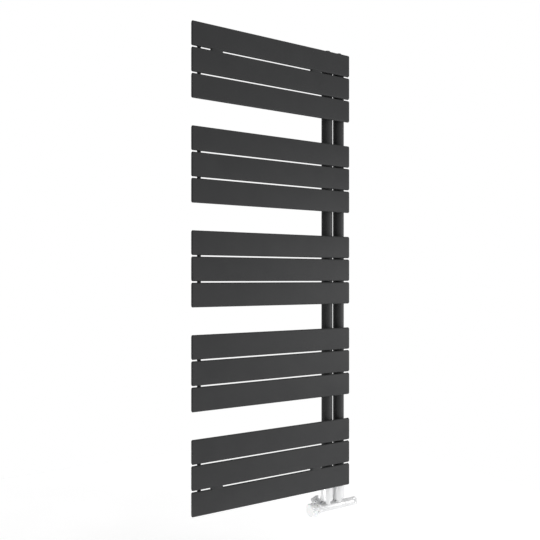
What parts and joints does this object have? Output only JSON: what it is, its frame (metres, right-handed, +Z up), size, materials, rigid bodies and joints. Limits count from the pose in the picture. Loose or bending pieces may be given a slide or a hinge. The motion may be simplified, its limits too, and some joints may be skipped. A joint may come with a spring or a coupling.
{
  "type": "radiator with valve",
  "caption": "Tall wall-hung towel radiator with flat panels open at the left, twin upright pipes at the right, wall brackets and a twin thermostatic valve.",
  "frame": {"origin": "on the wall surface, midway between the four wall screw holes", "axes": "+X to the right along the wall, +Y into the wall, +Z up; the panels face -Y"},
  "size_m": [0.6489, 0.115, 1.6024],
  "materials": {
    "anthracite_paint": "matt anthracite powder coat, fine texture",
    "valve_finish": "pale satin chrome plate",
    "white_plastic": "white moulded plastic",
    "chrome_plate": "bright chrome plate",
    "bare_steel": "plain steel, zinc plated",
    "brass": "turned brass",
    "seal_rubber": "black sealing rubber"
  },
  "bodies": {
    "wall_mount": {"wall_sockets": "anthracite_paint", "socket_grub_screws": "bare_steel", "wall_rosettes": "valve_finish"},
    "radiator": {"panel_01": "anthracite_paint", "panel_02": "anthracite_paint", "panel_03": "anthracite_paint", "panel_04": "anthracite_paint", "panel_05": "anthracite_paint", "panel_06": "anthracite_paint", "panel_07": "anthracite_paint", "panel_08": "anthracite_paint", "panel_09": "anthracite_paint", "panel_10": "anthracite_paint", "panel_11": "anthracite_paint", "panel_12": "anthracite_paint", "panel_13": "anthracite_paint", "panel_14": "anthracite_paint", "panel_15": "anthracite_paint", "stay_1": "anthracite_paint", "stay_2": "anthracite_paint", "stay_3": "anthracite_paint", "stay_4": "anthracite_paint", "stay_5": "anthracite_paint", "panel_ends_left": "anthracite_paint", "panel_ends_right": "anthracite_paint", "flow_baffles": "bare_steel", "supply_manifold": "anthracite_paint", "return_manifold": "anthracite_paint", "supply_nipples": "anthracite_paint", "return_nipples": "anthracite_paint", "manifold_top_caps": "anthracite_paint", "manifold_bottom_bushings": "anthracite_paint", "blanking_plug": "anthracite_paint", "air_vent_body": "anthracite_paint", "top_plug_seals": "seal_rubber", "bracket_lugs": "anthracite_paint", "bracket_stems": "bare_steel", "valve_body": "valve_finish", "supply_insert": "valve_finish", "lockshield_insert": "valve_finish", "insert_spring": "bare_steel", "valve_tailpieces": "brass", "tailpiece_seals": "seal_rubber", "union_nuts": "chrome_plate", "union_seals": "seal_rubber", "masking_sleeves": "valve_finish", "head_nut": "valve_finish", "head_base": "white_plastic", "compression_nuts": "valve_finish", "compression_rings": "brass", "wall_tails": "valve_finish"},
    "thermostat_cap": {"head_cap": "white_plastic"},
    "supply_stem": {"supply_pin": "bare_steel", "supply_disc": "seal_rubber", "sensor_capsule": "bare_steel"},
    "lockshield_spindle": {"lockshield_spindle": "brass"},
    "return_disc": {"return_disc": "seal_rubber"},
    "lockshield_cap": {"lockshield_cap": "valve_finish"},
    "vent_screw": {"air_vent_screw": "brass"}
  },
  "joints": [
    {"name": "depth_adjust", "type": "slide", "parent": "wall_mount", "child": "radiator", "axis": [0, 1, 0], "range_m": [-0.01, 0.003]},
    {"name": "thermostat_turn", "type": "hinge", "parent": "radiator", "child": "thermostat_cap", "pos_m": [0.1915, -0.061, -0.8205], "axis": [1, 0, 0], "range_deg": [-100, 150]},
    {"name": "supply_stem_travel", "type": "slide", "parent": "radiator", "child": "supply_stem", "axis": [1, 0, 0], "range_m": [-0.0009, 0.00135], "deforming": ["insert_spring"]},
    {"name": "lockshield_turn", "type": "hinge", "parent": "radiator", "child": "lockshield_spindle", "pos_m": [0.3365, -0.061, -0.8205], "axis": [-1, 0, 0], "range_deg": [0, 720]},
    {"name": "return_disc_travel", "type": "slide", "parent": "radiator", "child": "return_disc", "axis": [-1, 0, 0], "range_m": [0, 0.0021]},
    {"name": "lockshield_cap_off", "type": "slide", "parent": "radiator", "child": "lockshield_cap", "axis": [1, 0, 0], "range_m": [0, 0.05]},
    {"name": "vent_turn", "type": "hinge", "parent": "radiator", "child": "vent_screw", "pos_m": [0.3015, -0.061, 0.7485], "axis": [0, 0, 1], "range_deg": [0, 540]}
  ],
  "couplings": [
    {"joint": "supply_stem_travel", "follows": "thermostat_turn", "m_per_rad": 0.0005},
    {"joint": "return_disc_travel", "follows": "lockshield_turn", "m_per_rad": 0.00015915}
  ]
}
